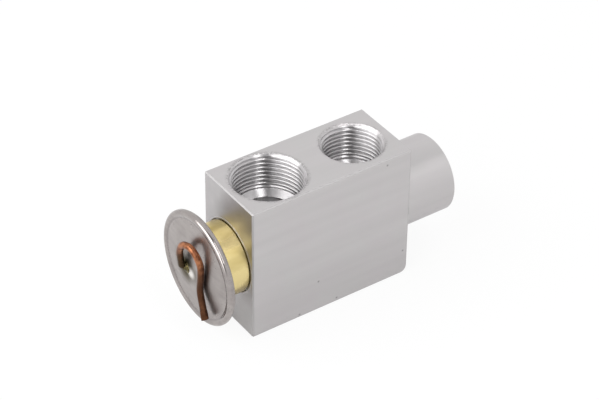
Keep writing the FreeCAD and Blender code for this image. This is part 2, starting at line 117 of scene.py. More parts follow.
def gridMesh(name, points, material, closeRows=True, closeColumns=True, grooveShade=None):
    # points is rows x columns x 3 in mm; each four neighbours make a face that looks along row x column;
    # soiled gives each point's share of painted shade, which the material may read
    rows, columns = points.shape[:2]
    index = np.arange(rows * columns).reshape(rows, columns)
    nextRow = np.roll(index, -1, axis=0)
    nextColumn = np.roll(index, -1, axis=1)
    both = np.roll(nextRow, -1, axis=1)
    faces = np.stack([index, nextColumn, both, nextRow], axis=-1)
    faces = faces[:rows if closeRows else rows - 1, :columns if closeColumns else columns - 1]
    faces = faces.reshape(-1, 4)
    mesh = bpy.data.meshes.new(name)
    mesh.vertices.add(rows * columns)
    mesh.vertices.foreach_set("co", (points * mm).astype(np.float32).ravel())
    mesh.loops.add(faces.size)
    mesh.loops.foreach_set("vertex_index", faces.astype(np.int32).ravel())
    mesh.polygons.add(len(faces))
    mesh.polygons.foreach_set("loop_start", np.arange(0, faces.size, 4, dtype=np.int32))
    mesh.polygons.foreach_set("use_smooth", np.ones(len(faces), bool))
    mesh.update(calc_edges=True)
    mesh.validate()
    if grooveShade is not None:
        grooveShadeLayer = mesh.attributes.new("grooveShade", "FLOAT", "POINT")
        grooveShadeLayer.data.foreach_set("value", grooveShade.astype(np.float32).ravel())
    mesh.materials.append(material)
    piece = bpy.data.objects.new(name, mesh)
    bpy.context.scene.collection.objects.link(piece)
    return piece


# Materials: patterns read object coordinates in mm, so a pattern's size is in mm too

blockLook = {
    "grey": "#C3C2C1",
    "pink": "#C6C1C3",
    "deburred": "#BEBCBC",  # the broken edges
    "deburredRoughness": 0.65,
    "markAndShade": "#4A4A4A",     # what bands, damage and the painted shade on the end faces darken towards
    "endShadeShare": 0.12,       # how much painted shade darkens the end faces
    "edgeBreak": (0.55, 0.43),   # mm, just over the width of the broken edges
    "bandShare": 0.13,      # how much the milling bands darken the tone
    "bandWidth": 3.2,       # mm
    "streakWidth": 0.7,     # mm
    "mottleSize": 9.0,      # mm
    "turnedPitch": 0.35,    # mm between rings on the boss, coarser than the real feed so that they show
    "roughness": (0.30, 0.40),
    "stretch": 0.45,
    "reliefDepth": 0.004,   # mm
    "nickRadius": 0.5,      # mm
    "nicks": [(-12.07, 1.24), (2.06, 1.55), (-5.02, 11.34), (20.18, 45.86), (27.55, 9.10)],   # X and Z in mm
    "burrWidth": 1.3,       # mm round the two upper ports
    "burrSize": 0.625,      # mm
    "damageShare": 0.55,    # how much nicks and burrs darken the tone
    "damageDepth": 8.0,     # how many times the relief's depth they sink
}


def portBurrs(tree, place, height):
    # scratches that deburring left on the top face, close round the two upper ports
    look = blockLook
    fromAbove = addNode(tree, "ShaderNodeMapping", {"Scale": (1, 1, 0)}, {"Vector": place}).outputs[0]
    edge = None
    for mountName in ("suction_outlet", "liquid_inlet"):
        mount = mounts[mountName]
        middle = (mount["pos_m"][0] / mm, 0, 0)
        away = addNode(tree, "ShaderNodeVectorMath", {"operation": "DISTANCE", 1: middle}, {0: fromAbove})
        past = addNode(tree, "ShaderNodeMath", {"operation": "SUBTRACT", 1: mount["dims"]["r_mm"]},
                       {0: away.outputs["Value"]}).outputs[0]
        if edge:
            past = addNode(tree, "ShaderNodeMath", {"operation": "MINIMUM"}, {0: edge, 1: past}).outputs[0]
        edge = past
    nearEdge = addNode(tree, "ShaderNodeMapRange", {"From Min": look["burrWidth"], "From Max": 0.0},
                       {"Value": edge})
    top = blockHigh.z - axisHeight
    onTop = addNode(tree, "ShaderNodeMapRange", {"From Min": top - 0.6, "From Max": top - 0.1},
                    {"Value": height})
    drawnOut = addNode(tree, "ShaderNodeMapping", {"Scale": (0.5, 1.6, 1)}, {"Vector": place})
    scratches = addNode(tree, "ShaderNodeTexNoise",
                        {"Scale": 1 / look["burrSize"], "Detail": 3.0, "Distortion": 1.5},
                        {"Vector": drawnOut.outputs[0]})
    burr = addNode(tree, "ShaderNodeMapRange", {"From Min": 0.46, "From Max": 0.58},
                   {"Value": scratches.outputs[0]})
    burr = addNode(tree, "ShaderNodeMath", {"operation": "MULTIPLY"},
                   {0: burr.outputs[0], 1: nearEdge.outputs[0]})
    burr = addNode(tree, "ShaderNodeMath", {"operation": "MULTIPLY"},
                   {0: burr.outputs[0], 1: onTop.outputs[0]})
    return burr.outputs[0]


def brokenEdges(tree, place):
    # depth below the three nearest faces; on a broken edge the two smaller ones add up to its width
    middle = (blockLow + blockHigh) / 2 - Vector((0, 0, axisHeight))
    middle.x = blockLow.x + blockLength / 2
    centred = addNode(tree, "ShaderNodeVectorMath", {"operation": "SUBTRACT", 1: middle}, {0: place})
    below = addNode(tree, "ShaderNodeVectorMath", {"operation": "ABSOLUTE"}, {0: centred.outputs[0]})
    below = addNode(tree, "ShaderNodeVectorMath", {"operation": "SUBTRACT", 0: blockSpan / 2},
                    {1: below.outputs[0]})
    below = addNode(tree, "ShaderNodeSeparateXYZ", None, {0: below.outputs[0]}).outputs
    total = addNode(tree, "ShaderNodeMath", {"operation": "ADD"}, {0: below["X"], 1: below["Y"]})
    total = addNode(tree, "ShaderNodeMath", {"operation": "ADD"}, {0: total.outputs[0], 1: below["Z"]})
    largest = addNode(tree, "ShaderNodeMath", {"operation": "MAXIMUM"}, {0: below["X"], 1: below["Y"]})
    largest = addNode(tree, "ShaderNodeMath", {"operation": "MAXIMUM"},
                      {0: largest.outputs[0], 1: below["Z"]})
    smaller = addNode(tree, "ShaderNodeMath", {"operation": "SUBTRACT"},
                      {0: total.outputs[0], 1: largest.outputs[0]})
    wide, narrow = blockLook["edgeBreak"]
    worn = addNode(tree, "ShaderNodeMapRange", {"From Min": wide, "From Max": narrow},
                   {"Value": smaller.outputs[0]})
    return worn.outputs[0]


def milledAluminium():
    # alloy bar with milled faces: soft bands and fine streaks along the bar's length, a faint grey and pink
    # mottle, small nicks on the near side, scratches at the upper ports, and turned rings on the boss
    look = blockLook
    material, tree = newMaterial("milled_aluminium")
    place = axisPlace(tree)
    where = addNode(tree, "ShaderNodeSeparateXYZ", None, {0: place})
    mottle = addNode(tree, "ShaderNodeTexNoise", {"Scale": 1 / look["mottleSize"], "Detail": 2.0},
                     {"Vector": place})
    tone = addNode(tree, "ShaderNodeMix", {"data_type": "RGBA", 6: toLinear(look["grey"]),
                   7: toLinear(look["pink"])}, {0: mottle.outputs[0]})
    lengthwise = addNode(tree, "ShaderNodeMapping", {"Scale": (0.05, 1, 1)}, {"Vector": place})
    bands = addNode(tree, "ShaderNodeTexNoise", {"Scale": 1 / look["bandWidth"], "Detail": 1.0},
                    {"Vector": lengthwise.outputs[0]})
    streaks = addNode(tree, "ShaderNodeTexNoise", {"Scale": 1 / look["streakWidth"], "Detail": 4.0},
                      {"Vector": lengthwise.outputs[0]})
    radial = addNode(tree, "ShaderNodeMapping", {"Scale": (0, 1, 1)}, {"Vector": place}).outputs[0]
    radius = addNode(tree, "ShaderNodeVectorMath", {"operation": "LENGTH"}, {0: radial})
    across = addNode(tree, "ShaderNodeMath", {"operation": "ADD"},
                     {0: where.outputs["X"], 1: radius.outputs["Value"]})
    rings = addNode(tree, "ShaderNodeTexNoise", {"noise_dimensions": "1D", "Scale": 1 / look["turnedPitch"],
                    "Detail": 2.0}, {"W": across.outputs[0]})
    onBoss = addNode(tree, "ShaderNodeMapRange", {"From Min": bossStart + 0.02, "From Max": bossStart + 0.1},
                     {"Value": where.outputs["X"]})
    grain = addNode(tree, "ShaderNodeMix", {"data_type": "FLOAT"},
                    {0: onBoss.outputs[0], 2: streaks.outputs[0], 3: rings.outputs[0]})

    # damage: the nearest nick, by its distance in mm, and the burrs of the ports
    nearest = None
    for x, z in look["nicks"]:
        middle = (x, blockLow.y, z - axisHeight)
        away = addNode(tree, "ShaderNodeVectorMath", {"operation": "DISTANCE", 1: middle}, {0: place})
        away = away.outputs["Value"]
        if nearest:
            away = addNode(tree, "ShaderNodeMath", {"operation": "MINIMUM"}, {0: nearest, 1: away}).outputs[0]
        nearest = away
    nick = addNode(tree, "ShaderNodeMapRange", {"From Min": look["nickRadius"], "From Max": 0.1},
                   {"Value": nearest})
    damage = addNode(tree, "ShaderNodeMath", {"operation": "MAXIMUM"},
                     {0: nick.outputs[0], 1: portBurrs(tree, place, where.outputs["Z"])})
    offBoss = addNode(tree, "ShaderNodeMath", {"operation": "SUBTRACT", 0: 1.0}, {1: onBoss.outputs[0]})
    worn = addNode(tree, "ShaderNodeMath", {"operation": "MULTIPLY"},
                   {0: brokenEdges(tree, place), 1: offBoss.outputs[0]})
    tone = addNode(tree, "ShaderNodeMix", {"data_type": "RGBA", 7: toLinear(look["deburred"])},
                   {0: worn.outputs[0], 6: tone.outputs[2]})

    # the tone darkens with the bands, the damage and painted shade on the end faces, and the relief sinks at
    # the damage
    facing = addNode(tree, "ShaderNodeSeparateXYZ", None,
                     {0: addNode(tree, "ShaderNodeTexCoord").outputs["Normal"]})
    onEnd = addNode(tree, "ShaderNodeMath", {"operation": "ABSOLUTE"}, {0: facing.outputs["X"]})
    onEnd = addNode(tree, "ShaderNodeMapRange", {"From Min": 0.8, "From Max": 0.95},
                    {"Value": onEnd.outputs[0]})
    dark = addNode(tree, "ShaderNodeMath", {"operation": "MULTIPLY", 1: look["damageShare"]},
                   {0: damage.outputs[0]})
    dark = addNode(tree, "ShaderNodeMath", {"operation": "MULTIPLY_ADD", 1: look["bandShare"]},
                   {0: bands.outputs[0], 2: dark.outputs[0]})
    # painted shade darkens the end faces
    dark = addNode(tree, "ShaderNodeMath", {"operation": "MULTIPLY_ADD", 1: look["endShadeShare"]},
                   {0: onEnd.outputs[0], 2: dark.outputs[0]})
    tone = addNode(tree, "ShaderNodeMix", {"data_type": "RGBA", 7: toLinear(look["markAndShade"])},
                   {0: dark.outputs[0], 6: tone.outputs[2]})
    relief = addNode(tree, "ShaderNodeMath", {"operation": "MULTIPLY_ADD", 1: -look["damageDepth"]},
                     {0: damage.outputs[0], 2: grain.outputs[0]})
    low, high = look["roughness"]
    rough = addNode(tree, "ShaderNodeMapRange",
                    {"From Min": 0.3, "From Max": 0.7, "To Min": low, "To Max": high},
                    {"Value": mottle.outputs[0]})
    rough = addNode(tree, "ShaderNodeMix", {"data_type": "FLOAT", 3: look["deburredRoughness"]},
                    {0: worn.outputs[0], 2: rough.outputs[0]})
    lie = addNode(tree, "ShaderNodeMix", {"data_type": "VECTOR", 4: (1, 0.02, 0.03), 5: (0.02, 0.1, 1)},
                  {0: onEnd.outputs[0]})
    finishMetal(tree, look, tone.outputs[2], relief.outputs[0], rough.outputs[0], lie.outputs[1])
    return material


tapLook = {
    "colour": "#DAD8D9",
    "darker": "#C6C3C4",
    "grooveShadeTone": "#4E4C4D",      # painted shade in the thread's grooves
    "grooveShadeShare": 0.34,
    "feed": 0.22,           # mm between cutting rings, drawn coarser than the real ones
    "tearsPerMm": 1.4,
    "roughness": (0.28, 0.36),
    "stretch": 0.92,
    "reliefDepth": 0.003,   # mm
}


def cutAluminium():
    # the freshly cut walls of the ports: rings round the port stretch each reflection into an upright band
    look = tapLook
    material, tree = newMaterial("tapped_aluminium")
    place = axisPlace(tree)
    height = addNode(tree, "ShaderNodeSeparateXYZ", None, {0: place}).outputs["Z"]
    rings = addNode(tree, "ShaderNodeTexNoise",
                    {"noise_dimensions": "1D", "Scale": 1 / look["feed"], "Detail": 2.0}, {"W": height})
    tears = addNode(tree, "ShaderNodeTexNoise", {"Scale": look["tearsPerMm"], "Detail": 4.0},
                    {"Vector": place})
    tone = addNode(tree, "ShaderNodeMix", {"data_type": "RGBA", 6: toLinear(look["darker"]),
                   7: toLinear(look["colour"])}, {0: tears.outputs[0]})
    # painted shade in the thread's grooves, read from the mesh
    grooveShade = addNode(tree, "ShaderNodeAttribute", {"attribute_name": "grooveShade"})
    grooveShade = addNode(tree, "ShaderNodeMath", {"operation": "MULTIPLY", 1: look["grooveShadeShare"]},
                     {0: grooveShade.outputs["Fac"]})
    tone = addNode(tree, "ShaderNodeMix", {"data_type": "RGBA", 7: toLinear(look["grooveShadeTone"])},
                   {0: grooveShade.outputs[0], 6: tone.outputs[2]})
    low, high = look["roughness"]
    rough = addNode(tree, "ShaderNodeMapRange", {"To Min": low, "To Max": high}, {"Value": tears.outputs[0]})
    upright = addNode(tree, "ShaderNodeCombineXYZ", {"Z": 1.0})
    finishMetal(tree, look, tone.outputs[2], rings.outputs[0], rough.outputs[0], upright.outputs[0])
    return material


coverLook = {
    "colour": "#B6B0AD",
    "cloud": "#8E8785",
    "cloudSize": 6.0,       # mm
    "smearWidth": 1.1,      # mm, wiping marks that run across the crown
    "smearShare": 0.22,
    "roughness": (0.27, 0.37),
    "beadRoughness": 0.15,  # the press tool burnishes the bead
    "beadStart": (15.9, 16.7),   # mm from the axis
    "smearAndValleyShade": "#6F696A",     # the wiping smears' colour, and painted shade in the valley inside the bead
    "valley": (16.7, 0.5),  # radius and half width in mm
    "dimpleDepth": 0.9,     # mm that the sheet sinks round the brazed hole
    "dimpleReach": (1.2, 5.4),    # mm from the foot
    "reliefDepth": 0.02,    # mm of waviness left by pressing
    "speck": "#5A5656",
    "speckSize": 0.55,      # mm between specks, where there are any
    "scorch": "#49432F",    # heat tint round the brazed foot
    "scorchRadius": (4.7, 8.9),   # mm from the foot, before the clouds pull it in
    "scorchRagged": 3.0,    # mm by which the clouds pull it in at most
    "paintedHighlight": "#F2EEEA",   # painted highlight beside the brazed foot
    "highlightAt": (-3.3, -0.9),    # mm across and up from the foot
    "highlightRadius": (0.6, 2.8),  # mm
}


def pressedStainless():
    # bright sheet, slightly wavy from the press, with clouds of dull specks, a heat tint round the brazed
    # tube, a painted highlight beside it and painted shade in the valley inside the bead
    look = coverLook
    material, tree = newMaterial("bright_pressed_stainless")
    place = axisPlace(tree)
    clouds = addNode(tree, "ShaderNodeTexNoise", {"Scale": 1 / look["cloudSize"], "Detail": 3.0},
                     {"Vector": place})
    tone = addNode(tree, "ShaderNodeMix", {"data_type": "RGBA", 6: toLinear(look["cloud"]),
                   7: toLinear(look["colour"])}, {0: clouds.outputs[0]})
    wiped = addNode(tree, "ShaderNodeMapping", {"Rotation": (0.6, 0, 0), "Scale": (1, 0.16, 1)},
                    {"Vector": place})
    smears = addNode(tree, "ShaderNodeTexNoise", {"Scale": 1 / look["smearWidth"], "Detail": 4.0},
                     {"Vector": wiped.outputs[0]})
    smear = addNode(tree, "ShaderNodeMapRange",
                    {"From Min": 0.45, "From Max": 0.7, "To Max": look["smearShare"]},
                    {"Value": smears.outputs[0]})
    tone = addNode(tree, "ShaderNodeMix", {"data_type": "RGBA", 7: toLinear(look["smearAndValleyShade"])},
                   {0: smear.outputs[0], 6: tone.outputs[2]})
    cells = addNode(tree, "ShaderNodeTexVoronoi", {"Scale": 1 / look["speckSize"]}, {"Vector": place})
    dot = addNode(tree, "ShaderNodeMapRange", {"From Min": 0.34, "From Max": 0.16},
                  {"Value": cells.outputs["Distance"]})
    patch = addNode(tree, "ShaderNodeMapRange", {"From Min": 0.56, "From Max": 0.66},
                    {"Value": clouds.outputs[0]})
    speck = addNode(tree, "ShaderNodeMath", {"operation": "MULTIPLY"},
                    {0: dot.outputs[0], 1: patch.outputs[0]})
    away = addNode(tree, "ShaderNodeVectorMath", {"operation": "DISTANCE", 1: brazeFoot}, {0: place})
    ragged = addNode(tree, "ShaderNodeMath", {"operation": "MULTIPLY_ADD", 1: look["scorchRagged"]},
                     {0: clouds.outputs[0], 2: away.outputs["Value"]})
    near, far = look["scorchRadius"]
    scorch = addNode(tree, "ShaderNodeMapRange", {"From Min": far, "From Max": near, "To Max": 0.9},
                     {"Value": ragged.outputs[0]})
    tone = addNode(tree, "ShaderNodeMix", {"data_type": "RGBA", 7: toLinear(look["scorch"])},
                   {0: scorch.outputs[0], 6: tone.outputs[2]})
    # painted highlight: a lighter patch beside and below the brazed foot
    highlightCentre = brazeFoot + Vector((0, *look["highlightAt"]))
    fromPatch = addNode(tree, "ShaderNodeVectorMath", {"operation": "DISTANCE", 1: highlightCentre}, {0: place})
    near, far = look["highlightRadius"]
    paintedHighlight = addNode(tree, "ShaderNodeMapRange", {"interpolation_type": "SMOOTHSTEP", "From Min": far,
                      "From Max": near, "To Max": 0.9}, {"Value": fromPatch.outputs["Value"]})
    tone = addNode(tree, "ShaderNodeMix", {"data_type": "RGBA", 7: toLinear(look["paintedHighlight"])},
                   {0: paintedHighlight.outputs[0], 6: tone.outputs[2]})
    tone = addNode(tree, "ShaderNodeMix", {"data_type": "RGBA", 7: toLinear(look["speck"])},
                   {0: speck.outputs[0], 6: tone.outputs[2]})
    radial = addNode(tree, "ShaderNodeMapping", {"Scale": (0, 1, 1)}, {"Vector": place}).outputs[0]
    radius = addNode(tree, "ShaderNodeVectorMath", {"operation": "LENGTH"}, {0: radial}).outputs["Value"]
    # painted shade in the valley inside the bead
    ring, halfWidth = look["valley"]
    fromValley = addNode(tree, "ShaderNodeMath", {"operation": "SUBTRACT", 1: ring}, {0: radius})
    fromValley = addNode(tree, "ShaderNodeMath", {"operation": "ABSOLUTE"}, {0: fromValley.outputs[0]})
    smearAndValleyShade = addNode(tree, "ShaderNodeMapRange", {"From Min": halfWidth, "From Max": 0.0, "To Max": 0.4},
                    {"Value": fromValley.outputs[0]})
    tone = addNode(tree, "ShaderNodeMix", {"data_type": "RGBA", 7: toLinear(look["smearAndValleyShade"])},
                   {0: smearAndValleyShade.outputs[0], 6: tone.outputs[2]})
    low, high = look["roughness"]
    rough = addNode(tree, "ShaderNodeMapRange", {"To Min": low, "To Max": high}, {"Value": clouds.outputs[0]})
    rough = addNode(tree, "ShaderNodeMath", {"operation": "MULTIPLY_ADD", 1: 0.2},
                    {0: scorch.outputs[0], 2: rough.outputs[0]})
    start, full = look["beadStart"]
    onBead = addNode(tree, "ShaderNodeMapRange", {"From Min": start, "From Max": full}, {"Value": radius})
    rough = addNode(tree, "ShaderNodeMix", {"data_type": "FLOAT", 3: look["beadRoughness"]},
                    {0: onBead.outputs[0], 2: rough.outputs[0]})
    near, far = look["dimpleReach"]
    dimple = addNode(tree, "ShaderNodeMapRange", {"interpolation_type": "SMOOTHSTEP", "From Min": near,
                     "From Max": far}, {"Value": away.outputs["Value"]})
    sunk = addNode(tree, "ShaderNodeBump", {"Strength": 1.0, "Distance": look["dimpleDepth"] * mm},
                   {"Height": dimple.outputs[0]})
    finishMetal(tree, look, tone.outputs[2], clouds.outputs[0], rough.outputs[0], under=sunk.outputs[0])
    return material


stainSize = 4.0   # mm

# colour, stained colour, share of stains, roughness from and to, ring pitch in mm, relief in mm, stretch
turnedLooks = {
    "turned_brass": ("#DDCB92", "#B8A25C", 0.12, 0.22, 0.34, 0.3, 0.0025, 0.5),
    "screw_brass": ("#CBB06A", "#8F7740", 0.2, 0.25, 0.4, 0.3, 0.003, 0.5),
    "turned_stainless": ("#A6A4A3", "#7C7A78", 0.1, 0.22, 0.34, 0.25, 0.0025, 0.5),
    "turned_rod_aluminium": ("#C3C2C1", "#9C9A97", 0.1, 0.24, 0.34, 0.3, 0.003, 0.5),
    "ground_hard_steel": ("#A0A1A5", "#88898C", 0.05, 0.08, 0.14, 0.12, 0.0006, 0.2),
}


def turnedMetal(name):
    # bar metal turned or ground about the valve axis: fine uneven rings that stretch a reflection across
    # themselves, a tone that wanders slightly, and duller stains where it was handled
    colour, stained, share, low, high, pitch, reliefDepth, stretch = turnedLooks[name]
    look = {"reliefDepth": reliefDepth, "stretch": stretch}
    material, tree = newMaterial(name)
    place = axisPlace(tree)
    where = addNode(tree, "ShaderNodeSeparateXYZ", None, {0: place})
    radial = addNode(tree, "ShaderNodeMapping", {"Scale": (0, 1, 1)}, {"Vector": place}).outputs[0]
    radius = addNode(tree, "ShaderNodeVectorMath", {"operation": "LENGTH"}, {0: radial})
    across = addNode(tree, "ShaderNodeMath", {"operation": "ADD"},
                     {0: where.outputs["X"], 1: radius.outputs["Value"]})
    rings = addNode(tree, "ShaderNodeTexNoise", {"noise_dimensions": "1D", "Scale": 1 / pitch, "Detail": 3.0},
                    {"W": across.outputs[0]})
    lengthwise = addNode(tree, "ShaderNodeMapping", {"Scale": (0.4, 1, 1)}, {"Vector": place})
    blot = addNode(tree, "ShaderNodeTexNoise", {"Scale": 1 / stainSize, "Detail": 2.0, "Roughness": 0.4},
                   {"Vector": lengthwise.outputs[0]})
    stain = addNode(tree, "ShaderNodeMapRange",
                    {"From Min": 0.55 - share, "From Max": 0.85 - share, "To Max": 0.6},
                    {"Value": blot.outputs[0]})
    tone = addNode(tree, "ShaderNodeMix", {"data_type": "RGBA", 6: toLinear(colour), 7: toLinear(stained)},
                   {0: stain.outputs[0]})
    rough = addNode(tree, "ShaderNodeMapRange",
                    {"From Min": 0.3, "From Max": 0.7, "To Min": low, "To Max": high},
                    {"Value": blot.outputs[0]})
    outward = addNode(tree, "ShaderNodeVectorMath", {"operation": "NORMALIZE"}, {0: radial})
    tangent = addNode(tree, "ShaderNodeVectorMath",
                      {"operation": "MULTIPLY_ADD", 1: (0.6, 0.6, 0.6), 2: (1, 0, 0)},
                      {0: outward.outputs[0]})
    finishMetal(tree, look, tone.outputs[2], rings.outputs[0], rough.outputs[0], tangent.outputs[0])
    return material


stripLook = {
    "strip": ("#939394", "#7E7D7C", (0.06, 1, 1), 0.5),    # light, dark, how the lines lie, their width in mm
    "wire": ("#85868A", "#6A6A6C", (1, 1, 1), 0.25),
    "roughness": (0.25, 0.4),
    "reliefDepth": 0.002,   # mm
}


def springSteel(name, kind):
    # strip or wire with the fine lines of rolling or drawing and a slightly uneven oil-dark tone
    light, darker, lie, width = stripLook[kind]
    material, tree = newMaterial(name)
    drawnOut = addNode(tree, "ShaderNodeMapping", {"Scale": lie}, {"Vector": axisPlace(tree)})
    lines = addNode(tree, "ShaderNodeTexNoise", {"Scale": 1 / width, "Detail": 4.0},
                    {"Vector": drawnOut.outputs[0]})
    tone = addNode(tree, "ShaderNodeMix", {"data_type": "RGBA", 6: toLinear(darker), 7: toLinear(light)},
                   {0: lines.outputs[0]})
    low, high = stripLook["roughness"]
    rough = addNode(tree, "ShaderNodeMapRange", {"To Min": low, "To Max": high}, {"Value": lines.outputs[0]})
    finishMetal(tree, stripLook, tone.outputs[2], lines.outputs[0], rough.outputs[0])
    return material


copperLook = {
    "bright": "#B67A56",
    "brown": "#6F4530",
    "lowerRun": "#432D20",   # the lower run is browner than the hook
    "lowerRunFrom": (7.5, 2.0),    # mm above the valve axis
    "burnt": "#3F3320",     # olive brown that brazing leaves near the foot
    "burntReach": (3.0, 10.0),   # mm from the foot
    "blotSize": 2.4,        # mm
    "roughness": (0.28, 0.4),
    "reliefDepth": 0.008,   # mm
}


def drawnCopper():
    # soft copper tube, darkened by the torch near its foot and browner towards the bottom, faintly dented
    look = copperLook
    material, tree = newMaterial("drawn_copper")
    place = axisPlace(tree)
    blots = addNode(tree, "ShaderNodeTexNoise",
                    {"Scale": 1 / look["blotSize"], "Detail": 5.0, "Roughness": 0.6}, {"Vector": place})
    share = addNode(tree, "ShaderNodeMapRange", {"From Min": 0.38, "From Max": 0.62},
                    {"Value": blots.outputs[0]})
    tone = addNode(tree, "ShaderNodeMix", {"data_type": "RGBA", 6: toLinear(look["brown"]),
                   7: toLinear(look["bright"])}, {0: share.outputs[0]})
    height = addNode(tree, "ShaderNodeSeparateXYZ", None, {0: place}).outputs["Z"]
    start, full = look["lowerRunFrom"]
    lowerRun = addNode(tree, "ShaderNodeMapRange", {"From Min": start, "From Max": full, "To Max": 0.85},
                      {"Value": height})
    tone = addNode(tree, "ShaderNodeMix", {"data_type": "RGBA", 7: toLinear(look["lowerRun"])},
                   {0: lowerRun.outputs[0], 6: tone.outputs[2]})
    away = addNode(tree, "ShaderNodeVectorMath", {"operation": "DISTANCE", 1: brazeFoot}, {0: place})
    near, far = look["burntReach"]
    burnt = addNode(tree, "ShaderNodeMapRange", {"From Min": far, "From Max": near, "To Max": 0.9},
                    {"Value": away.outputs["Value"]})
    tone = addNode(tree, "ShaderNodeMix", {"data_type": "RGBA", 7: toLinear(look["burnt"])},
                   {0: burnt.outputs[0], 6: tone.outputs[2]})
    low, high = look["roughness"]
    rough = addNode(tree, "ShaderNodeMapRange", {"To Min": low, "To Max": high}, {"Value": blots.outputs[0]})
    finishMetal(tree, look, tone.outputs[2], blots.outputs[0], rough.outputs[0])
    return material


brazeLook = {
    "light": "#857A50",
    "dark": "#3D3727",
    "lumpSize": 0.5,        # mm
    "roughness": (0.55, 0.3),     # in the hollows and on the lumps
    "reliefDepth": 0.05,    # mm
}


def brazeAlloy():
    # frozen filler metal: lumpy, with dark flux left in its hollows
    look = brazeLook
    material, tree = newMaterial("braze_alloy")
    lumps = addNode(tree, "ShaderNodeTexNoise", {"Scale": 1 / look["lumpSize"], "Detail": 4.0},
                    {"Vector": axisPlace(tree)})
    share = addNode(tree, "ShaderNodeMapRange", {"From Min": 0.4, "From Max": 0.65},
                    {"Value": lumps.outputs[0]})
    tone = addNode(tree, "ShaderNodeMix", {"data_type": "RGBA", 6: toLinear(look["dark"]),
                   7: toLinear(look["light"])}, {0: share.outputs[0]})
    hollow, lump = look["roughness"]
    rough = addNode(tree, "ShaderNodeMapRange", {"To Min": hollow, "To Max": lump},
                    {"Value": share.outputs[0]})
    finishMetal(tree, look, tone.outputs[2], lumps.outputs[0], rough.outputs[0])
    return material


rubberLook = {
    "black": "#1B1B1C",
    "bloom": "#2C2C2E",
    "bloomSize": 0.8,       # mm
    "roughness": (0.4, 0.6),
    "reliefDepth": 0.004,   # mm
}


def sealRubber():
    # moulded black rubber with a faint grey bloom and a fine moulded texture
    look = rubberLook
    material, tree = newMaterial("moulded_seal_rubber")
    bloom = addNode(tree, "ShaderNodeTexNoise", {"Scale": 1 / look["bloomSize"], "Detail": 5.0},
                    {"Vector": axisPlace(tree)})
    tone = addNode(tree, "ShaderNodeMix", {"data_type": "RGBA", 6: toLinear(look["black"]),
                   7: toLinear(look["bloom"])}, {0: bloom.outputs[0]})
    low, high = look["roughness"]
    rough = addNode(tree, "ShaderNodeMapRange", {"To Min": low, "To Max": high}, {"Value": bloom.outputs[0]})
    bump = addNode(tree, "ShaderNodeBump", {"Strength": 1.0, "Distance": look["reliefDepth"] * mm},
                   {"Height": bloom.outputs[0]})
    links = {"Base Color": tone.outputs[2], "Roughness": rough.outputs[0], "Normal": bump.outputs[0]}
    shader = addNode(tree, "ShaderNodeBsdfPrincipled", None, links)
    addNode(tree, "ShaderNodeOutputMaterial", None, {0: shader.outputs[0]})
    return material


aluminium = milledAluminium()
cutWalls = cutAluminium()
stainless = pressedStainless()
turned = {name: turnedMetal(name) for name in turnedLooks}
dress(aluminium, "valve_body")
dress(stainless, "upper_cover", "lower_cover")
dress(turned["turned_brass"], "brass_collar")
dress(drawnCopper(), "charge_tube")
braze = brazeAlloy()
dress(braze, "braze_fillet")
dress(turned["screw_brass"], "adjusting_screw", "diaphragm_stopper")
dress(turned["turned_rod_aluminium"], "sensing_rod")
dress(turned["turned_stainless"], "ball_support")
dress(turned["ground_hard_steel"], "valve_ball", "operating_pin")
dress(springSteel("spring_strip", "strip"), "diaphragm", "push_nut", "damping_spring")
dress(springSteel("drawn_spring_wire", "wire"), "valve_spring")
dress(sealRubber(), "head_oring", "rod_seal", "adjuster_oring")
print("materials made")


# Linings of the four ports: the mouth's cone, the thread, the plain wall and the drill's cone below it

portCut = {
    "pitch": 1.5,           # mm, taken as standard; the ridges seen in both upper ports fit it
    "depthShare": 0.54,     # depth of the cut over the pitch
    "flankAngle": 30.0,     # degrees between a flank and the radius
    "mouthSlope": 0.7,      # how fast the mouth narrows with depth
    "drillAngle": 59.0,     # degrees between the drill's cone and its axis
    "wallGap": 0.03,        # mm between the lining and the solid's plain bore
    "wallCover": 0.25,      # mm that the lining's back lies within the block's metal
    "endRoom": 0.02,        # mm left free at both ends of the thread
    "corner": 0.06,         # mm that a plain corner is broken by
    "samplesPerPitch": 16,
    "columns": 256,
    # bevel, depth of the plain wall, radius of the passage below it and depth lined there, in mm
    "ports": {
        "suction_outlet": (0.15, 12.8, 8.8, 2.6),
        "suction_inlet": (0.5, 13.0, 8.8, 2.0),
        "liquid_inlet": (0.5, 13.1, 4.0, 2.0),
        "liquid_outlet": (0.5, 12.0, 6.2, 0.0),   # the passage lies to one side, so the lining ends round it
    },
}


def threadedWall(nominal, bevel, threadEnd):
    # Depth, radius and painted shade of the wall. At depth d and angle a the thread's phase is d/pitch +
    # a/turn. The radius goes from crest to root by the flank's slope and fades at the run-out, the mouth's
    # cone cuts it, and painted shade lies in the roots.
    cut = portCut
    pitch, gap = cut["pitch"], cut["wallGap"]
    step = cut["depthShare"] * pitch
    firstDepth = bevel + cut["endRoom"]
    lastDepth = threadEnd + step - cut["endRoom"]
    count = int((lastDepth - firstDepth) / pitch * cut["samplesPerPitch"])
    depth = np.linspace(firstDepth, lastDepth, count)[:, None]
    angle = np.linspace(0, 2 * math.pi, cut["columns"], endpoint=False)[None, :]
    phase = (depth / pitch + angle / (2 * math.pi)) % 1
    fromCrest = abs(phase - 0.5) * pitch
    flankRun = step * math.tan(math.radians(cut["flankAngle"]))
    groove = np.clip((fromCrest - pitch / 8) / flankRun, 0, 1)
    groove = 0.6 * groove + 0.4 * groove ** 2 * (3 - 2 * groove)
    fade = np.clip((lastDepth - depth) / pitch, 0, 1)
    radius = nominal - step - gap + (step - gap) * groove * fade
    mouth = nominal - gap - cut["mouthSlope"] * (depth - bevel)
    grooveShade = np.where(mouth < radius, groove * fade, 0)
    return depth[:, 0], np.maximum(radius, mouth), grooveShade


